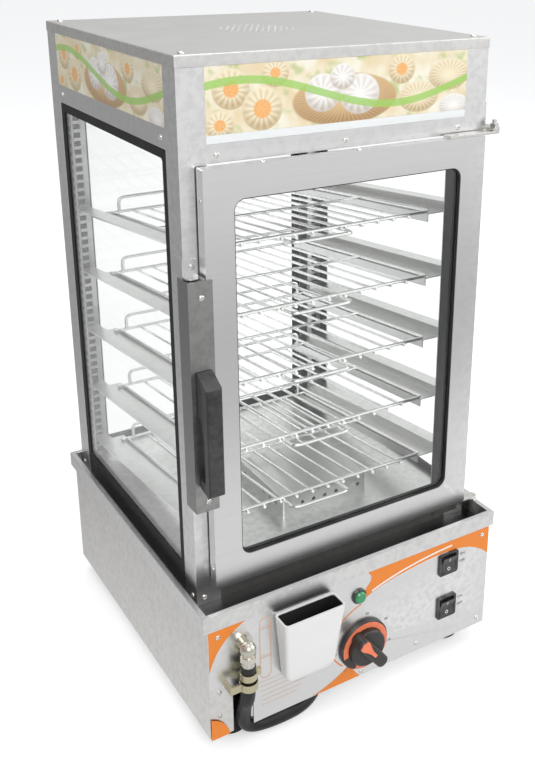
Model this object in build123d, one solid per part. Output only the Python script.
from build123d import *
from math import cos, pi, radians, sin
import os

# Steam food display case: a water base with controls, a glazed cabinet with five tilted wire racks,
# and a hinged glass door. Origin on the plane of the feet at the middle of the base, front at -Y, +Z up.

# Sheet metal
sheet = 1.5
seam = 0.3
touch = 0.5

# Sides of the polygons that thin round things are cut to, to keep their facets few
wire_sides = 8
hose_sides = 14
head_sides = 10

# Base box and its rim
foot_height = 20.0
foot_radius = 17.0
foot_inset_x = 38.0
foot_inset_y = 34.0
base_width = 373.0
base_depth = 399.0
base_height = 138.5
rim_overhang = 5.0
rim_front = 202.5
rim_height = 18.5
rim_fold = 6.0
shell_flange = 14.0
panel_notch_height = 52.0
panel_step_width = 22.5
panel_step_height = 15.0
cup_hole_rise = 22.0
plate_vent_pitch = 14.0
gland_x = 120.0
gland_z = 52.0
gland_bore = 4.0

# Glazed cabinet
cabinet_inset = 8.5
front_deck = 41.0
rear_deck = 5.0
post_leg = 28.0
post_lip = 8.0
sill_height = 24.0
sill_ledge = 20.0
window_top = 642.0
roof_bottom = 719.0
roof_height = 11.0
roof_overhang = 0.5
vent_radius = 2.2
vent_pitch = 7.5
vent_field = 40.0
vent_y = 20.0

# Header
cross_rail_bottom = 631.0
cross_rail_height = 18.0
light_strip_height = 8.0
side_rail_height = 20.0
lamp_tube_radius = 6.0
lamp_tube_inset = 30.0
ceiling_vent = 90.0

# Glass
pane_thickness = 3.0
seal_width = 10.0
seal_thickness = 5.0
seal_grip = 5.0

# Racks and rails
rack_count = 5
rack_pitch = 75.6
top_rack_z = 541.0
rack_front_gap = 30.5
rack_rear_gap = 47.5
rack_tilt = 6.5
rack_side_gap = 47.0
wire_radius = 2.0
bar_radius = 1.7
bar_margin = 21.2
bar_count = 10
bar_overrun = 3.0
weld = 0.5
loop_x = -21.5
loop_width = 71.0
loop_reach = 25.0
loop_bend = 8.0
stop_inset = 9.0
stop_height = 17.0
rear_wire_overrun = 7.0
rail_sheet = 1.2
rail_rise = 8.0
rail_lip = 8.5
rail_ledge_gap = 50.0
rail_web_gap = 26.0
rail_flange_gap = 8.0

# Door
door_left_gap = 16.0
door_right_gap = 10.4
door_bottom = 184.0
door_height = 446.0
door_standoff = 2.0
door_thickness = 13.0
door_stile = 31.0
door_corner = 12.0
door_glass_setback = 2.5
glazing_reach = 4.0
glazing_outset = 8.0
door_seal_width = 8.0
door_seal_gap = 0.4
hinge_outset = 6.5
hinge_standoff = 8.5
hinge_arm_width = 12.0
hinge_arm_length = 64.0
hinge_arm_thickness = 3.0
hinge_pin_radius = 2.5
hinge_play = 0.06
hinge_lug_thickness = 2.6
hinge_plate_width = 24.0
hinge_block_inset = 62.5
hinge_block_length = 36.0

# Latch bar and handle
latch_bottom = 282.0
latch_top = 526.0
latch_lap = 6.0
latch_wrap = 23.0
latch_side_gap = 2.0
catch_height = 17.0
catch_tongue = 12.0
handle_bottom = 312.0
handle_top = 436.0
handle_width = 17.0
handle_depth = 22.0
handle_grip = 10.0

# Controls
knob_x = 5.0
knob_z = 65.0
knob_radius = 31.5
switch_inset = 61.6
switch_upper_z = 128.5
switch_lower_z = 67.5
switch_width = 27.6
switch_height = 30.0
switch_lip = 2.5
rocker_setback = 2.0
rocker_width = 20.0
rocker_half = 11.0
rocker_lean = 7.0
rocker_pin = 1.2
lamp_x = -1.7
lamp_z = 131.3
lamp_radius = 9.3
cup_inset = 114.2
cup_top_z = 150.0
cup_height = 86.0
cup_top_width = 75.5
cup_bottom_width = 57.0
cup_top_depth = 26.0
cup_bottom_depth = 15.0
cup_wall = 2.0
fitting_inset = 38.5
fitting_z = 132.0
fitting_reach = 13.5
clip_z = 88.0
hose_radius = 8.0
hose_bore = 5.0

# Water tank and steam parts
tank_side_gap = 36.5
tank_front_gap = 18.5
tank_rear_gap = 24.5
tank_bottom_z = 60.0
drain_x = -30.0
drain_setback = 28.0
spout_bore = 7.2
heater_half = 90.0
heater_radius = 4.0
heater_z = 84.0
heater_bend = 22.0
diffuser_x = 20.0
diffuser_setback = 66.5
diffuser_width = 116.0
diffuser_depth = 108.0
diffuser_height = 25.0
diffuser_hole_radius = 2.6
diffuser_hole_pitch = 15.5
diffuser_hole_margin = 8.0
steam_way_inset = 12.0

# Places worked out from the sizes above
wall_top = foot_height + base_height
deck_top = wall_top + sheet
cab_x = base_width / 2 - cabinet_inset
cab_front = -base_depth / 2 + front_deck
cab_rear = base_depth / 2 - rear_deck
inner_x = cab_x - sheet
inner_front = cab_front + sheet
inner_rear = cab_rear - sheet
sill_top = deck_top + sill_height
floor_top = sill_top + sheet
roof_top = roof_bottom + roof_height
panel_back = -base_depth / 2
panel_front = panel_back - sheet
window_front = cab_front + post_leg
window_rear = cab_rear - post_leg
window_x = cab_x - post_leg
cross_rail_top = cross_rail_bottom + cross_rail_height
sign_bottom = cross_rail_top + light_strip_height
side_sign_bottom = window_top + side_rail_height
door_left = -cab_x + door_left_gap
door_right = cab_x - door_right_gap
door_top = door_bottom + door_height
door_back_y = cab_front - door_standoff
door_front_y = door_back_y - door_thickness
door_window_left = door_left + door_stile
door_window_right = door_right - door_stile
door_window_low = door_bottom + door_stile
door_window_high = door_top - door_stile
hinge_x = cab_x + hinge_outset
hinge_y = cab_front - hinge_standoff
top_arm = (door_top, door_top + hinge_arm_thickness)
bottom_arm = (door_bottom - hinge_arm_thickness, door_bottom)
latch_front_y = door_front_y - sheet
latch_left = -cab_x - latch_side_gap - sheet
latch_centre = (latch_left + sheet + door_left + latch_lap) / 2
rack_levels = [top_rack_z - i * rack_pitch for i in range(rack_count)]
rack_front_y = cab_front + rack_front_gap
rack_length = cab_rear - rack_rear_gap - rack_front_y
rack_half_width = cab_x - rack_side_gap
bar_pitch = 2 * (rack_half_width - bar_margin) / (bar_count - 1)
switch_x = base_width / 2 - switch_inset
rocker_pivot_y = panel_front + rocker_setback
cup_x = -base_width / 2 + cup_inset
cup_hole_z = cup_top_z - cup_height + cup_hole_rise
fitting_x = -base_width / 2 + fitting_inset
tank_half_width = base_width / 2 - tank_side_gap
tank_front_y = cab_front + tank_front_gap
tank_rear_y = cab_rear - tank_rear_gap
drain_y = tank_front_y + drain_setback
drain_axis_z = hose_radius + 0.5
diffuser_front_y = cab_front + diffuser_setback


def box(x0, x1, y0, y1, z0, z1):
    centre = Pos((x0 + x1) / 2, (y0 + y1) / 2, (z0 + z1) / 2)
    return centre * Box(abs(x1 - x0), abs(y1 - y0), abs(z1 - z0))


def rod(start, end, radius):
    line = Line(start, end)
    return extrude(Plane(origin=line @ 0, z_dir=line % 0) * Circle(radius), amount=line.length)


def bar(start, end, radius):
    """A straight wire cut to a polygon of the round wire's size."""
    line = Line(start, end)
    section = RegularPolygon(radius, wire_sides)
    return extrude(Plane(origin=line @ 0, z_dir=line % 0) * section, amount=line.length)


def tube_along(path, radius, bore=0.0, sides=wire_sides):
    section = RegularPolygon(radius, sides)
    if bore > 0:
        section = section - RegularPolygon(bore, sides, major_radius=False)
    return sweep(Plane(origin=path @ 0, z_dir=path % 0) * section, path=path)


def ring_wall(x0, x1, y0, y1, z0, z1, wall):
    return box(x0, x1, y0, y1, z0, z1) - box(x0 + wall, x1 - wall, y0 + wall, y1 - wall, z0 - 1, z1 + 1)


def frame_xz(x0, x1, z0, z1, y0, y1, width, outer_round=0.0, inner_round=0.0):
    """An upright picture-frame ring between two y planes."""
    outer = slab_xz(x0, x1, z0, z1, y0, y1, outer_round)
    inner = slab_xz(x0 + width, x1 - width, z0 + width, z1 - width, y0 - 1, y1 + 1, inner_round)
    return outer - inner


def slab_xz(x0, x1, z0, z1, y0, y1, corner=0.0):
    shape = Rectangle(x1 - x0, z1 - z0)
    if corner > 0:
        shape = RectangleRounded(x1 - x0, z1 - z0, corner)
    plane = Plane(origin=((x0 + x1) / 2, y0, (z0 + z1) / 2), x_dir=(1, 0, 0), z_dir=(0, -1, 0))
    return extrude(plane * shape, amount=-(y1 - y0))


def slab_yz(y0, y1, z0, z1, x0, x1, corner=0.0):
    shape = Rectangle(y1 - y0, z1 - z0)
    if corner > 0:
        shape = RectangleRounded(y1 - y0, z1 - z0, corner)
    plane = Plane(origin=(x0, (y0 + y1) / 2, (z0 + z1) / 2), x_dir=(0, 1, 0), z_dir=(1, 0, 0))
    return extrude(plane * shape, amount=x1 - x0)


def mirror_x(shape):
    return mirror(shape, about=Plane.YZ)


def screw_head(at, direction, radius=3.4, rise=2.0):
    """A low domed head seated on a flat face."""
    plane = Plane(origin=at, z_dir=direction)
    head = extrude(plane * RegularPolygon(radius, head_sides), amount=rise)
    crown = head.faces().sort_by(lambda f: (f.center() - Vector(*at)).dot(Vector(*direction)))[-1]
    return chamfer(crown.edges(), rise * 0.45)


def save(name, shape):
    solids = ShapeList(shape.solids())
    export_step(Compound(children=list(solids)) if len(solids) > 1 else solids[0], f"parts/{name}.step")


# Base

def base_shell():
    half_w = base_width / 2
    half_d = base_depth / 2
    shell = ring_wall(-half_w, half_w, -half_d, half_d, foot_height, wall_top, sheet)
    front_left = -half_w + 2 * shell_flange - 1
    front_right = half_w - shell_flange
    shell -= box(front_left, front_right, -half_d - 1, -half_d + sheet + 1, foot_height - 1, wall_top + 1)
    flange = ring_wall(-half_w, half_w, -half_d, half_d, foot_height, foot_height + sheet, shell_flange)
    flange -= box(front_left, front_right, -half_d - 1, -half_d + 20, foot_height - 1, foot_height + 3)
    return shell + flange - rod((gland_x, half_d - 4, gland_z), (gland_x, half_d + 1, gland_z), gland_bore + 1)


def bottom_plate():
    gap = sheet + seam
    z0 = foot_height + sheet
    x = base_width / 2 - gap
    y = base_depth / 2 - gap
    plate = box(-x, x, -base_depth / 2 + 24, y, z0, z0 + sheet)
    plate -= Pos(drain_x, drain_y, z0) * Cylinder(hose_radius + 1, 10)
    vent = Part() + [Pos(60 + plate_vent_pitch * i, 60, z0) * Box(5, 60, 10) for i in range(6)]
    return plate - vent


def feet():
    """Four rubber pads, wider at the top, screwed up against the bottom plate."""
    pads = []
    top = foot_height + sheet
    for sx in (-1, 1):
        for sy in (-1, 1):
            x = sx * (base_width / 2 - foot_inset_x)
            y = sy * (base_depth / 2 - foot_inset_y)
            profile = make_face(Polyline(
                (0, 0), (foot_radius * 0.62, 0), (foot_radius * 0.9, foot_height * 0.3),
                (foot_radius, foot_height * 0.62), (foot_radius, top), (0, top), close=True))
            pads.append(Pos(x, y, 0) * revolve(Plane.XZ * profile, Axis.Z))
    return Part() + pads


def rim_tray():
    x = base_width / 2 + rim_overhang
    y = rim_front
    top = wall_top + rim_height
    deck = box(-x, x, -y, y, wall_top, deck_top)
    opening_x = inner_x - sill_ledge - 6
    deck -= box(-opening_x, opening_x, inner_front + 24, inner_rear - 24, wall_top - 1, deck_top + 1)
    outer = ring_wall(-x, x, -y, y, wall_top, top, sheet)
    crown = ring_wall(-x, x, -y, y, top - sheet, top, rim_fold)
    inset = rim_fold - sheet
    inner = ring_wall(-x + inset, x - inset, -y + inset, y - inset, deck_top, top, sheet)
    return deck + outer + crown + inner


def control_panel():
    half = base_width / 2
    plate = slab_xz(-half, half, foot_height, wall_top, panel_front, panel_back)
    notch_right = fitting_x + hose_radius + 4
    notch_top = foot_height + panel_notch_height
    step_top = notch_top + panel_step_height
    plate -= box(-half - 1, notch_right, panel_front - 1, panel_back + 1, foot_height - 1, notch_top)
    plate -= box(-half - 1, -half + panel_step_width, panel_front - 1, panel_back + 1, notch_top - 1, step_top)
    plate -= hole_y(knob_x, knob_z, 4.5)
    plate -= hole_y(lamp_x, lamp_z, 6.5)
    plate -= hole_y(fitting_x, fitting_z, 6.2)
    plate -= hole_y(cup_x, cup_hole_z, spout_bore + 2)
    for z in (switch_upper_z, switch_lower_z):
        plate -= switch_block(z, switch_width - 3.4, switch_height - 3.4, panel_front - 1, panel_back + 1)
    return plate


def hole_y(x, z, radius):
    return Pos(x, panel_back, z) * Rot(90, 0, 0) * Cylinder(radius, 12)


def switch_block(z, width, height, y0, y1):
    return box(switch_x - width / 2, switch_x + width / 2, y0, y1, z - height / 2, z + height / 2)


def switch_bezel(z):
    flange = slab_xz(switch_x - switch_width / 2, switch_x + switch_width / 2,
                     z - switch_height / 2, z + switch_height / 2, panel_front - switch_lip, panel_front, 3.0)
    body = switch_block(z, switch_width - 3.6, switch_height - 3.6, panel_front - 0.1, panel_front + 26)
    pocket = switch_block(z, rocker_width + 1, 2 * rocker_half + 2.6, panel_front - 3, panel_front + 8)
    pivot = Pos(switch_x, rocker_pivot_y, z) * Rot(0, 90, 0) * Cylinder(rocker_pin + 0.06, rocker_width + 2.6)
    tabs = [box(switch_x - 6, switch_x - 5.2, panel_front + 26, panel_front + 33, tab_z - 3, tab_z + 3)
            for tab_z in (z - 7, z, z + 7)]
    return flange + body - pocket - pivot + tabs


def rocker(z):
    ends = [(-6.5, rocker_half), (-4.0, 0), (-6.5, -rocker_half), (3.0, -7.0), (3.0, 7.0)]
    lean = radians(rocker_lean)
    outline = [(rocker_pivot_y + y * cos(lean) - h * sin(lean), z + y * sin(lean) + h * cos(lean)) for y, h in ends]
    plane = Plane(origin=(switch_x - rocker_width / 2, 0, 0), x_dir=(0, 1, 0), z_dir=(1, 0, 0))
    key = extrude(plane * make_face(Polyline(*outline, close=True)), amount=rocker_width)
    pin = Pos(switch_x, rocker_pivot_y, z) * Rot(0, 90, 0) * Cylinder(rocker_pin, rocker_width + 2.2)
    return key + pin


def knob_parts():
    front = panel_front - seam
    axis_at = (knob_x, front, knob_z)
    toward = Plane(origin=axis_at, x_dir=(1, 0, 0), z_dir=(0, -1, 0))
    skirt = extrude(toward * Circle(knob_radius), amount=5.0)
    skirt = chamfer(skirt.faces().sort_by(Axis.Y)[0].edges(), 1.6)
    drum = extrude(toward * Circle(knob_radius * 0.72), amount=13.0)
    drum = chamfer(drum.faces().sort_by(Axis.Y)[0].edges(), 1.5)
    grip = extrude(toward * (Rot(0, 0, 38) * RectangleRounded(15, knob_radius * 1.66, 6.5)), amount=24.0)
    grip = chamfer(grip.faces().sort_by(Axis.Y)[0].edges(), 1.5)
    bore = rod(axis_at, (knob_x, front - 14, knob_z), 3.0)
    body = skirt + drum + grip - bore
    inlay_plane = toward.offset(24.0)
    inlay = extrude(inlay_plane * (Rot(0, 0, 38) * Pos(0, 11) * RectangleRounded(4.5, 25, 2.0)), amount=0.8)
    ring = extrude(toward.offset(5.0) * (Circle(knob_radius * 0.9) - Circle(knob_radius * 0.74)), amount=0.8)
    shaft = rod((knob_x, front - 14, knob_z), (knob_x, panel_back + 12, knob_z), 3.0)
    return body, inlay + (ring - grip), shaft


def thermostat_body():
    can = Pos(knob_x, panel_back + 19, knob_z) * Rot(90, 0, 0) * Cylinder(19.0, 22)
    collar = Pos(knob_x, panel_back + 5, knob_z) * Rot(90, 0, 0) * Cylinder(9.0, 6)
    plate = Pos(knob_x, panel_back + 1, knob_z) * Box(48, 2, 30)
    bulb = Pos(knob_x + 24, panel_back + 19, knob_z) * Box(12, 14, 16)
    bore = Pos(knob_x, panel_back + 6, knob_z) * Rot(90, 0, 0) * Cylinder(3.06, 14)
    return can + collar + plate + bulb - bore


def pilot_lamp():
    bezel_plane = Plane(origin=(lamp_x, panel_front, lamp_z), x_dir=(1, 0, 0), z_dir=(0, -1, 0))
    bezel = extrude(bezel_plane * Circle(lamp_radius), amount=2.4)
    bezel = chamfer(bezel.faces().sort_by(Axis.Y)[0].edges(), 0.8)
    barrel = rod((lamp_x, panel_front, lamp_z), (lamp_x, panel_front + 24, lamp_z), 6.3)
    seat = extrude(bezel_plane.offset(1.2) * Circle(lamp_radius - 2.2), amount=1.3)
    lens = extrude(bezel_plane.offset(1.2) * Circle(lamp_radius - 2.2), amount=5.0)
    lens = chamfer(lens.faces().sort_by(Axis.Y)[0].edges(), 1.5)
    return bezel + barrel - seat, lens


def fill_cup():
    def block(inset, drop):
        sections = []
        for depth, width, z in ((cup_bottom_depth, cup_bottom_width, cup_top_z - cup_height + drop),
                                (cup_top_depth, cup_top_width, cup_top_z + (1 if inset else 0))):
            y0 = panel_front - depth + inset
            y1 = panel_front - inset
            plane = Plane(origin=(cup_x, (y0 + y1) / 2, z))
            sections.append(plane * RectangleRounded(width - 2 * inset, y1 - y0, 5.0))
        return loft(sections, ruled=True)
    cup = block(0, 0) - block(cup_wall, cup_wall)
    return cup - rod((cup_x, panel_front - cup_wall - 2, cup_hole_z), (cup_x, panel_front + 2, cup_hole_z), spout_bore)


def fill_pipe():
    z = cup_hole_z
    outer = rod((cup_x, panel_front, z), (cup_x, tank_front_y, z), spout_bore + 1.8)
    return outer - rod((cup_x, panel_front - 1, z), (cup_x, tank_front_y + 1, z), spout_bore)


def water_tank():
    x = tank_half_width
    z1 = wall_top
    tank = box(-x, x, tank_front_y, tank_rear_y, tank_bottom_z, z1)
    tank -= box(-x + sheet, x - sheet, tank_front_y + sheet, tank_rear_y - sheet,
                tank_bottom_z + sheet, z1 + 1)
    brim = ring_wall(-x - 8, x + 8, tank_front_y - 8, tank_rear_y + 8, z1 - sheet, z1, 8 + sheet)
    tank -= rod((cup_x, tank_front_y - 1, cup_hole_z), (cup_x, tank_front_y + 3, cup_hole_z), spout_bore)
    tank -= rod((drain_x, drain_y, tank_bottom_z - 1), (drain_x, drain_y, tank_bottom_z + 3), hose_bore)
    for x in (-heater_half, heater_half):
        tank -= rod((x, tank_rear_y - 3, heater_z), (x, tank_rear_y + 1, heater_z), heater_radius)
    return tank + brim


def heating_element():
    """One bent tube with its two ends through the tank's rear wall."""
    near = tank_front_y + 30
    far = tank_rear_y - 40
    end = tank_rear_y + 14
    inner = heater_half / 3
    turns = [(-heater_half, end), (-heater_half, near), (-inner, near), (-inner, far),
             (inner, far), (inner, near), (heater_half, near), (heater_half, end)]
    path = FilletPolyline(*[(x, y, heater_z) for x, y in turns], radius=heater_bend)
    return tube_along(path, heater_radius)


# Drain and hose

# The corners of the hose's run: down from the fitting, over the counter and back to the drain
hose_route = [
    (fitting_x, panel_front - fitting_reach, fitting_z - 20),
    (fitting_x, panel_front - fitting_reach, 70.0),
    (fitting_x + 1, panel_front + 2, 48.0),
    (fitting_x + 5, panel_front + 11, drain_axis_z),
    (fitting_x + 44, panel_front + 4, drain_axis_z),
    (fitting_x + 86, panel_front + 8, drain_axis_z),
    (drain_x, panel_front + 38, drain_axis_z),
    (drain_x, drain_y - 9, drain_axis_z)]


def hose_path():
    radii = []
    for before, corner, after in zip(hose_route, hose_route[1:], hose_route[2:]):
        run_in = Vector(*corner) - Vector(*before)
        run_out = Vector(*after) - Vector(*corner)
        half_turn = radians(run_in.get_angle(run_out) / 2)
        shorter = min(run_in.length, run_out.length)
        radii.append(0.45 * shorter * cos(half_turn) / sin(half_turn))
    print("hose radii", [round(r, 1) for r in radii])
    return FilletPolyline(*hose_route, radius=radii)


def drain_hose():
    path = hose_path()
    hose = tube_along(path, hose_radius, hose_bore, hose_sides)
    section = pi * (hose_radius ** 2 - hose_bore ** 2)
    print("hose length", round(path.length, 1), "volume ratio", round(hose.volume / (section * path.length), 4))
    return hose


def drain_elbow():
    down = rod((drain_x, drain_y, tank_bottom_z), (drain_x, drain_y, drain_axis_z), hose_bore + 2)
    turn = Pos(drain_x, drain_y, drain_axis_z) * Sphere(hose_bore + 2)
    barb = rod((drain_x, drain_y, drain_axis_z), (drain_x, drain_y - 22, drain_axis_z), hose_bore - 0.08)
    collar = rod((drain_x, drain_y, drain_axis_z), (drain_x, drain_y - 9, drain_axis_z), hose_bore + 2)
    return down + turn + barb + collar


def hose_fitting():
    y = panel_front - fitting_reach
    flange = rod((fitting_x, panel_front, fitting_z), (fitting_x, panel_front - 3, fitting_z), 11.0)
    stem = rod((fitting_x, panel_front + 12, fitting_z), (fitting_x, y, fitting_z), 6.0)
    dome = Pos(fitting_x, y, fitting_z) * Sphere(8.6)
    neck = rod((fitting_x, y, fitting_z), (fitting_x, y, fitting_z - 20), 7.4)
    barb = rod((fitting_x, y, fitting_z), (fitting_x, y, fitting_z - 34), hose_bore - 0.08)
    nut = extrude(Plane(origin=(fitting_x, y, fitting_z - 13)) * RegularPolygon(9.2, 6), amount=6)
    return flange + stem + dome + neck + barb + nut


def hose_clamp():
    y = panel_front - fitting_reach
    z = fitting_z - 32
    band = Pos(fitting_x, y, z) * (Cylinder(hose_radius + 1.2, 8) - Cylinder(hose_radius + 0.1, 10))
    ear = Pos(fitting_x + hose_radius + 3, y, z) * Box(6, 5, 8)
    return band + ear


def hose_clip():
    y = panel_front - fitting_reach
    z = clip_z
    ring = Pos(fitting_x, y, z) * (Cylinder(hose_radius + 2.0, 9) - Cylinder(hose_radius + 0.3, 12))
    x = fitting_x - hose_radius
    arm = box(x - 12, x - 0.8, y - 2, y + 1, z - 4.5, z + 4.5)
    foot = box(x - 14, x - 11, y - 2, panel_front, z - 4.5, z + 4.5)
    return ring + arm + foot


def cord_gland():
    """A rubber bush round the lead's way through the rear wall."""
    y = base_depth / 2
    flange = rod((gland_x, y, gland_z), (gland_x, y + 3, gland_z), gland_bore + 6)
    taper = rod((gland_x, y + 3, gland_z), (gland_x, y + 9, gland_z), gland_bore + 3)
    bore = rod((gland_x, y - 1, gland_z), (gland_x, y + 10, gland_z), gland_bore)
    return flange + taper - bore


# Cabinet frame

def corner_post(sx, front):
    """A folded angle with a return lip on each leg, standing on the deck."""
    y_out = cab_front if front else cab_rear
    inward = 1 if front else -1
    y_leg = y_out + inward * post_leg
    across = box(-cab_x, -window_x, y_out, y_out + inward * sheet, deck_top, roof_bottom)
    along = box(-cab_x, -inner_x, y_out, y_leg, deck_top, roof_bottom)
    side_lip = box(-cab_x, -cab_x + post_lip, y_leg - inward * sheet, y_leg, sill_top, window_top)
    front_lip = box(-window_x - sheet, -window_x, y_out, y_out + inward * post_lip, sill_top, cross_rail_bottom)
    post = across + along + side_lip + front_lip
    return post if sx < 0 else mirror_x(post)


def bottom_frame():
    web = ring_wall(-inner_x, inner_x, inner_front, inner_rear, deck_top, sill_top, sheet)
    ledge = ring_wall(-inner_x, inner_x, inner_front, inner_rear, sill_top - sheet, sill_top, sill_ledge)
    return web + ledge


def top_frame():
    z1 = roof_top - sheet
    z0 = roof_bottom - 12
    web = ring_wall(-inner_x, inner_x, inner_front, inner_rear, z0, z1, sheet)
    ledge = ring_wall(-inner_x, inner_x, inner_front, inner_rear, z1 - sheet, z1, 16.0)
    return web + ledge


def roof_cap():
    x = cab_x + roof_overhang
    y0 = cab_front - roof_overhang
    y1 = cab_rear + roof_overhang
    cap = box(-x, x, y0, y1, roof_bottom, roof_top)
    cap = chamfer(cap.faces().sort_by(Axis.Z)[-1].edges(), 0.8)
    cap -= box(-x + sheet, x - sheet, y0 + sheet, y1 - sheet, roof_bottom - 1, roof_top - sheet)
    holes = []
    rows = int(vent_field / (vent_pitch * 0.866))
    for row in range(-rows, rows + 1):
        y = row * vent_pitch * 0.866
        for col in range(-8, 9):
            x_hole = (col + 0.5 * (row % 2)) * vent_pitch
            if x_hole ** 2 + y ** 2 <= vent_field ** 2:
                holes.append(Pos(x_hole, vent_y + y) * RegularPolygon(vent_radius, 6))
    punch = extrude(Plane(origin=(0, 0, roof_top - 4)) * (Sketch() + holes), amount=6)
    return cap - punch


def front_cross_rail():
    web = box(-window_x, window_x, cab_front, inner_front, cross_rail_bottom, cross_rail_top)
    lower = box(-window_x, window_x, cab_front, cab_front + 11, cross_rail_bottom, cross_rail_bottom + sheet)
    upper = box(-window_x, window_x, cab_front, cab_front + 11, cross_rail_top - sheet, cross_rail_top)
    return web + lower + upper


def side_cross_rails():
    rails = []
    for sx in (-1, 1):
        x_out = sx * cab_x
        web = box(x_out, x_out - sx * sheet, window_front, window_rear, window_top, side_sign_bottom)
        foot = box(x_out, x_out - sx * 16, window_front, window_rear, window_top, window_top + sheet)
        rails.append(web + foot)
    web = box(-window_x, window_x, inner_rear, cab_rear, window_top, side_sign_bottom)
    foot = box(-window_x, window_x, cab_rear - 14, cab_rear, window_top, window_top + sheet)
    rails.append(web + foot)
    return Part() + rails


def sign_front():
    return box(-window_x, window_x, cab_front, inner_front, sign_bottom, roof_bottom)


def light_strip():
    return box(-window_x, window_x, cab_front, cab_front + 3, cross_rail_top, sign_bottom)


def sign_side(sx):
    panel = box(-cab_x, -inner_x, window_front, window_rear, side_sign_bottom, roof_bottom)
    return panel if sx < 0 else mirror_x(panel)


def rear_header():
    return box(-window_x, window_x, inner_rear, cab_rear, side_sign_bottom, roof_bottom)


def ceiling():
    """The plate between the chamber and the header, open under the roof's vent holes."""
    z = window_top + sheet
    x = inner_x - seam
    plate = box(-x, x, inner_front + seam, inner_rear - seam, z, z + sheet)
    half = ceiling_vent / 2
    return plate - box(-half, half, vent_y - half, vent_y + half, z - 1, z + sheet + 1)


def header_lamp():
    """A strip lamp behind the front sign, in two holders."""
    y = cab_front + 24
    z = window_top + 2 * sheet
    half = window_x - lamp_tube_inset
    tube = rod((-half, y, z + 12), (half, y, z + 12), lamp_tube_radius)
    holders = [box(x - 5, x + 5, y - 8, y + 8, z, z + 22) for x in (-half, half)]
    return tube, Part() + holders - rod((-half - 1, y, z + 12), (half + 1, y, z + 12), lamp_tube_radius)


# Glazing

def side_glazing(sx):
    """Glass pane held in a rubber channel between two posts."""
    x0 = -cab_x + touch
    x1 = x0 + seal_thickness
    mid = (x0 + x1) / 2
    pane = slab_yz(window_front + seal_grip, window_rear - seal_grip, sill_top + seal_grip, window_top - seal_grip,
                   mid - pane_thickness / 2, mid + pane_thickness / 2)
    outer = slab_yz(window_front, window_rear, sill_top, window_top, x0, x1)
    inner = slab_yz(window_front + seal_width, window_rear - seal_width, sill_top + seal_width,
                    window_top - seal_width, x0 - 1, x1 + 1, 4.0)
    seal = outer - inner - pane
    if sx > 0:
        return mirror_x(pane), mirror_x(seal)
    return pane, seal


def rear_glazing():
    y1 = cab_rear - touch
    y0 = y1 - seal_thickness
    mid = (y0 + y1) / 2
    pane = slab_xz(-window_x + seal_grip, window_x - seal_grip, sill_top + seal_grip, window_top - seal_grip,
                   mid - pane_thickness / 2, mid + pane_thickness / 2)
    ring = frame_xz(-window_x, window_x, sill_top, window_top, y0, y1, seal_width, 0, 4.0)
    return pane, ring - pane


# Chamber

def chamber_floor():
    x = inner_x - sheet - seal_thickness
    y0 = cab_front + post_lip
    y1 = inner_rear - sheet - seal_thickness
    plate = box(-x, x, y0, y1, sill_top, floor_top)
    half = diffuser_width / 2 - steam_way_inset
    way_front = diffuser_front_y + steam_way_inset
    way_rear = diffuser_front_y + diffuser_depth - steam_way_inset
    return plate - box(diffuser_x - half, diffuser_x + half, way_front, way_rear, sill_top - 1, floor_top + 1)


def steam_diffuser():
    x0 = diffuser_x - diffuser_width / 2
    x1 = x0 + diffuser_width
    y0 = diffuser_front_y
    y1 = y0 + diffuser_depth
    z1 = floor_top + diffuser_height
    hood = box(x0, x1, y0, y1, floor_top, z1)
    hood = fillet(hood.edges().filter_by(Axis.Z), 3.0)
    hood -= box(x0 + sheet, x1 - sheet, y0 + sheet, y1 - sheet, floor_top - 1, z1 - sheet)
    z = floor_top + diffuser_height * 0.52
    count_x = int((diffuser_width - 2 * diffuser_hole_margin) / diffuser_hole_pitch) + 1
    count_y = int((diffuser_depth - 2 * diffuser_hole_margin) / diffuser_hole_pitch) + 1
    centre_y = (y0 + y1) / 2
    punch = extrude(RegularPolygon(diffuser_hole_radius, 8), amount=diffuser_width, both=True)
    for i in range(count_x):
        x = diffuser_x + (i - (count_x - 1) / 2) * diffuser_hole_pitch
        hood -= Pos(x, centre_y, z) * Rot(90, 0, 0) * punch
    for i in range(count_y):
        y = centre_y + (i - (count_y - 1) / 2) * diffuser_hole_pitch
        hood -= Pos(diffuser_x, y, z) * Rot(0, 90, 0) * punch
    return hood


def rack_uprights():
    strips = []
    reach = cab_x - rail_flange_gap
    for sx in (-1, 1):
        for y0 in (window_front, window_rear - sheet):
            strips.append(box(sx * window_x, sx * reach, y0, y0 + sheet, floor_top, window_top))
    return Part() + strips


def tilted(shape, level):
    return Pos(0, rack_front_y, level) * Rot(-rack_tilt, 0, 0) * shape


def rail(level):
    """A two-step folded rail: lip, ledge under the rack's side wire, web and outer flange."""
    y0 = -40.0
    y1 = rack_length + 60
    web_x = cab_x - rail_web_gap
    ledge_x = cab_x - rail_ledge_gap
    bottom = -wire_radius - seam - rail_sheet
    top = bottom + rail_sheet + wire_radius + seam + rail_rise
    web = box(web_x, web_x + rail_sheet, y0, y1, bottom, top)
    flange = box(web_x, cab_x - rail_flange_gap, y0, y1, top - rail_sheet, top)
    ledge = box(ledge_x, web_x + rail_sheet, y0, y1, bottom, bottom + rail_sheet)
    lip = box(ledge_x, ledge_x + rail_sheet, y0, y1, bottom - rail_lip, bottom + rail_sheet)
    folded = tilted(web + flange + ledge + lip, level)
    room = box(0, cab_x, window_front + sheet, window_rear - sheet, level - rack_pitch, level + rack_pitch / 2)
    return folded & room


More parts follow.
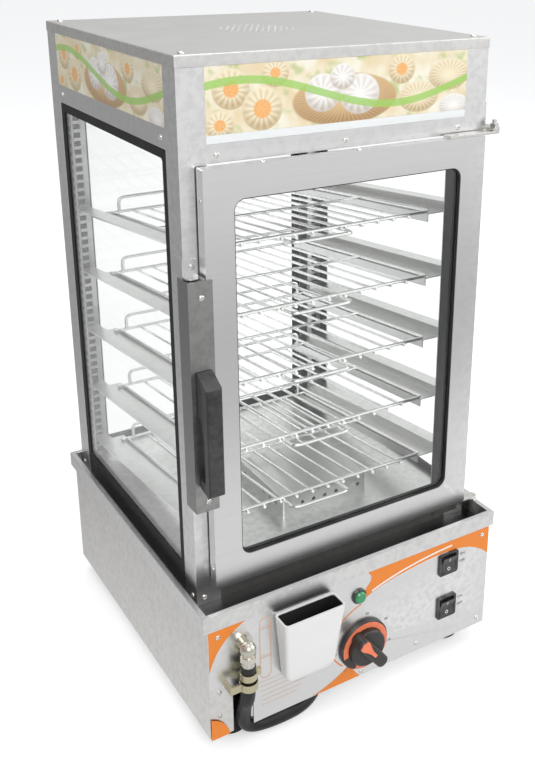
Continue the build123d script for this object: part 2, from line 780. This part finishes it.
def rack():
    """One welded wire rack, flat, with its front wire on the X axis."""
    half = rack_half_width
    rear = rack_length
    outline = FilletPolyline((-half, rear, 0), (-half, 0, 0), (half, 0, 0), (half, rear, 0), radius=loop_bend)
    wires = [tube_along(outline, wire_radius)]
    reach = half + rear_wire_overrun
    wires.append(bar((-reach, rear, 0), (reach, rear, 0), wire_radius))
    wires.append(bar((-half, rear / 2, 0), (half, rear / 2, 0), bar_radius))
    below = -(wire_radius + bar_radius - weld)
    for i in range(bar_count):
        x = (i - (bar_count - 1) / 2) * bar_pitch
        wires.append(bar((x, -bar_overrun, below), (x, rear + bar_overrun, below), bar_radius))
    left = loop_x - loop_width / 2
    right = loop_x + loop_width / 2
    loop = FilletPolyline((left, 6, below), (left, -loop_reach, below),
                          (right, -loop_reach, below), (right, 6, below), radius=loop_bend)
    wires.append(tube_along(loop, wire_radius))
    s = half - stop_inset
    stop = FilletPolyline((-s, rear, 0), (-s, rear, stop_height),
                          (s, rear, stop_height), (s, rear, 0), radius=loop_bend)
    wires.append(tube_along(stop, wire_radius))
    return Part() + wires


# Door

def window_slab(outset, y0, y1):
    """The door window's oblong, grown by a margin, between two y planes."""
    return slab_xz(door_window_left - outset, door_window_right + outset,
                   door_window_low - outset, door_window_high + outset, y0, y1)


def door_frame():
    face = frame_xz(door_left, door_right, door_bottom, door_top, door_front_y, door_back_y - sheet,
                    door_stile, 1.5, door_corner)
    hollow = frame_xz(door_left + sheet, door_right - sheet, door_bottom + sheet, door_top - sheet,
                      door_front_y + sheet, door_back_y, door_stile - sheet - glazing_outset - 2, 0, 0)
    return face - hollow - window_slab(glazing_outset, door_front_y + sheet, door_back_y)


def door_glazing():
    y0 = door_front_y + sheet
    y1 = door_back_y - sheet
    glass_y = y0 + door_glass_setback
    pane = window_slab(glazing_outset - 3, glass_y, glass_y + pane_thickness)
    opening = slab_xz(door_window_left + glazing_reach, door_window_right - glazing_reach,
                      door_window_low + glazing_reach, door_window_high - glazing_reach,
                      y0 - 1, y1 + 1, door_corner - 4)
    return pane, window_slab(glazing_outset, y0, y1) - opening - pane


def door_back_cover():
    return frame_xz(door_left, door_right, door_bottom, door_top, door_back_y - sheet, door_back_y,
                    door_stile, 1.5, door_corner)


def door_seal():
    y1 = cab_front - door_seal_gap
    inset = 12.0
    return frame_xz(door_left + inset, door_right - inset, door_bottom + inset, door_top - inset,
                    door_back_y, y1, door_seal_width, 4.0, 3.0)


def hinge_arm(z0, z1):
    x0 = hinge_x - hinge_arm_length
    half = hinge_arm_width / 2
    arm = box(x0, hinge_x, hinge_y - half, hinge_y + half, z0, z1)
    arm += Pos(hinge_x, hinge_y, (z0 + z1) / 2) * Cylinder(half, z1 - z0)
    return arm - Pos(hinge_x, hinge_y, z0) * Cylinder(hinge_pin_radius + hinge_play, 20)


def hinge_block():
    """The stiffening block under the lower arm."""
    x0 = hinge_x - hinge_block_inset
    half = hinge_arm_width / 2
    return box(x0, x0 + hinge_block_length, hinge_y - half, hinge_y + half, bottom_arm[0] - 4, bottom_arm[0])


def hinge_bracket(arm_z0, arm_z1, up):
    """A plate on the post's side with a lug over or under the arm, and the pin fixed in the lug."""
    half = hinge_arm_width / 2
    lug_z0 = arm_z1 + seam if up else arm_z0 - seam - hinge_lug_thickness
    lug_z1 = lug_z0 + hinge_lug_thickness
    plate_z1 = lug_z1 + 26 if up else lug_z1 + 30
    rear = cab_front + hinge_plate_width
    plate = box(cab_x, cab_x + 2, cab_front + 1, rear, lug_z0, plate_z1)
    lug = box(cab_x, hinge_x + half, hinge_y, rear, lug_z0, lug_z1)
    lug += Pos(hinge_x, hinge_y, (lug_z0 + lug_z1) / 2) * Cylinder(half, hinge_lug_thickness)
    pin_low = arm_z0 - 0.5 if up else lug_z0
    pin_high = lug_z1 if up else arm_z1 - 0.2
    return plate + lug + rod((hinge_x, hinge_y, pin_low), (hinge_x, hinge_y, pin_high), hinge_pin_radius)


def hinge_nuts():
    z = top_arm[1] + seam + hinge_lug_thickness
    nut = extrude(Plane(origin=(hinge_x, hinge_y, z)) * RegularPolygon(5.0, 6), amount=4.0)
    stud = rod((hinge_x, hinge_y, z + 4), (hinge_x, hinge_y, z + 8), hinge_pin_radius)
    return nut + stud


def latch_bar():
    """A folded bar along the door's edge whose flange wraps the post's corner."""
    x0 = latch_left
    x1 = door_left
    z0 = latch_bottom
    z1 = latch_top
    front = box(x0, door_left + latch_lap, latch_front_y, door_front_y, z0, z1)
    side = box(x0, x0 + sheet, latch_front_y, latch_front_y + latch_wrap, z0, z1)
    inner = box(x1 - sheet, x1, latch_front_y, door_back_y - 1, z0, z1)
    caps = [box(x0, x1, latch_front_y, cab_front - 2, z, z + sheet) for z in (z0, z1 - sheet)]
    return front + side + inner + caps


def door_handle():
    y0 = latch_front_y
    foot = y0 - handle_depth
    grip = foot + handle_grip
    low = handle_bottom
    high = handle_top
    outline = make_face(Polyline(
        (y0, low), (foot + 3, low - 4), (foot, low), (foot, high - 12), (y0 - 1, high), (y0, high - 1),
        (y0, high - 44), (grip + 3, high - 52), (grip, high - 62), (grip, low + 10), (y0, low + 9), close=True))
    plane = Plane(origin=(latch_centre - handle_width / 2, 0, 0), x_dir=(0, 1, 0), z_dir=(1, 0, 0))
    grip_bar = extrude(plane * outline, amount=handle_width)
    return chamfer(grip_bar.edges().filter_by(Axis.Z), 1.2)


def door_catch():
    """The bracket on the post above the latch bar, wrapped round the corner, with a spring ball over the bar."""
    x0 = -cab_x - sheet
    x1 = door_left - 3
    z0 = latch_top + 1.0
    z1 = z0 + catch_height
    face = box(x0, x1, cab_front - sheet, cab_front, z0, z1)
    side = box(x0, -cab_x, cab_front - sheet, cab_front + 22, z0, z1)
    tongue = box(x0, x1, cab_front - catch_tongue, cab_front, z0, z0 + sheet)
    tongue = fillet(tongue.edges().filter_by(Axis.Z).sort_by(Axis.Y)[:2], 5.0)
    return face + side + tongue


# Screws

def roof_screws():
    heads = [screw_head((sx * (cab_x - 12), y, roof_top), (0, 0, 1))
             for sx in (-1, 1) for y in (cab_front + 12, cab_rear - 12)]
    return Part() + heads


def panel_screws():
    x = base_width / 2 - 11
    places = [(x, wall_top - 9), (x, foot_height + 9.5), (-x, wall_top - 9.5), (3.5, foot_height + 5.5),
              (knob_x + 78, foot_height + 10)]
    heads = [screw_head((px, panel_front, pz), (0, -1, 0), 2.8, 1.6) for px, pz in places]
    heads += [screw_head((0.5 - x, panel_back, z), (0, -1, 0), 2.4, 1.4) for z in (47.0, 77.6)]
    return Part() + heads


def header_screws():
    z = cross_rail_bottom + 7.5
    heads = [screw_head((x, cab_front, z), (0, -1, 0), 2.8, 1.6) for x in (10 - window_x, 0, window_x - 9)]
    for sx in (-1, 1):
        heads += [screw_head((sx * cab_x, y, window_top + 10), (sx, 0, 0), 2.8, 1.6)
                  for y in (window_front + 10, window_rear - 10)]
    return Part() + heads


def door_screws():
    middle_y = (door_front_y + door_back_y) / 2
    heads = [screw_head((latch_centre, latch_front_y, z), (0, -1, 0), 3.0, 1.8)
             for z in (latch_bottom + 11, latch_top - 16)]
    heads += [screw_head((door_left, middle_y, z), (-1, 0, 0), 2.6, 1.5)
              for z in (door_bottom + 23, door_top - 30)]
    heads += [screw_head((x, hinge_y, door_top), (0, 0, 1), 2.6, 1.5) for x in (door_left + 64, 10.0)]
    return Part() + heads


def frame_screws():
    z = deck_top + 9
    heads = [screw_head((sx * (cab_x - 9), cab_front, z), (0, -1, 0), 2.8, 1.6) for sx in (-1, 1)]
    heads += [screw_head((sx * cab_x, y, z), (sx, 0, 0), 2.8, 1.6)
              for sx in (-1, 1) for y in (cab_front + 10, cab_rear - 10)]
    heads.append(screw_head((-cab_x + 8, cab_front - sheet, latch_top + 10.5), (0, -1, 0), 2.8, 1.6))
    return Part() + heads


def main():
    os.makedirs("parts", exist_ok=True)
    save("base_shell", base_shell())
    save("base_bottom_plate", bottom_plate())
    save("feet", feet())
    save("rim_tray", rim_tray())
    save("control_panel", control_panel())
    save("switch_bezels", Part() + [switch_bezel(switch_upper_z), switch_bezel(switch_lower_z)])
    save("rocker_upper", rocker(switch_upper_z))
    save("rocker_lower", rocker(switch_lower_z))
    body, inlay, shaft = knob_parts()
    save("knob_body", body)
    save("knob_inlay", inlay)
    save("thermostat_shaft", shaft)
    save("thermostat_body", thermostat_body())
    lamp_body, lamp_lens = pilot_lamp()
    save("lamp_body", lamp_body)
    save("lamp_lens", lamp_lens)
    save("fill_cup", fill_cup())
    save("fill_pipe", fill_pipe())
    save("water_tank", water_tank() + drain_elbow())
    save("heating_element", heating_element())
    save("drain_hose", drain_hose())
    save("hose_fitting", hose_fitting())
    save("hose_clamps", Part() + [hose_clamp(), hose_clip()])
    save("cord_gland", cord_gland())
    save("posts_front", Part() + [corner_post(sx, True) for sx in (-1, 1)])
    save("posts_rear", Part() + [corner_post(sx, False) for sx in (-1, 1)])
    save("bottom_frame", bottom_frame())
    save("top_frame", top_frame())
    save("roof_cap", roof_cap())
    save("cross_rails", side_cross_rails() + front_cross_rail())
    save("sign_front", sign_front())
    save("light_strip", light_strip())
    save("side_signs", Part() + [sign_side(sx) for sx in (-1, 1)])
    save("rear_header", rear_header())
    save("chamber_ceiling", ceiling())
    tube, holders = header_lamp()
    save("header_lamp", Part() + [tube, holders])
    panes = {"left": side_glazing(-1), "right": side_glazing(1), "rear": rear_glazing()}
    for name, (pane, seal) in panes.items():
        save("glass_" + name, pane)
    save("glass_seals", Part() + [seal for pane, seal in panes.values()])
    save("chamber_floor", chamber_floor())
    save("steam_diffuser", steam_diffuser())
    save("rack_uprights", rack_uprights())
    rails = Part() + [rail(level) for level in rack_levels]
    save("shelf_rails", rails + mirror_x(rails))
    flat_rack = rack()
    for i, level in enumerate(rack_levels):
        save(f"rack_{i + 1}", tilted(flat_rack, level))
    save("door_frame", door_frame())
    pane, seal = door_glazing()
    save("door_glass", pane)
    save("door_glazing_seal", seal)
    save("door_back_cover", door_back_cover())
    save("door_seal", door_seal())
    save("hinge_arms", Part() + [hinge_arm(*top_arm), hinge_arm(*bottom_arm) + hinge_block()])
    save("hinge_brackets", Part() + [hinge_bracket(*top_arm, True) + hinge_nuts(), hinge_bracket(*bottom_arm, False)])
    save("latch_bar", latch_bar())
    save("door_handle", door_handle())
    save("door_catch", door_catch())
    save("panel_screws", panel_screws())
    save("frame_screws", Part() + [header_screws(), frame_screws(), roof_screws()])
    save("door_screws", door_screws())


main()
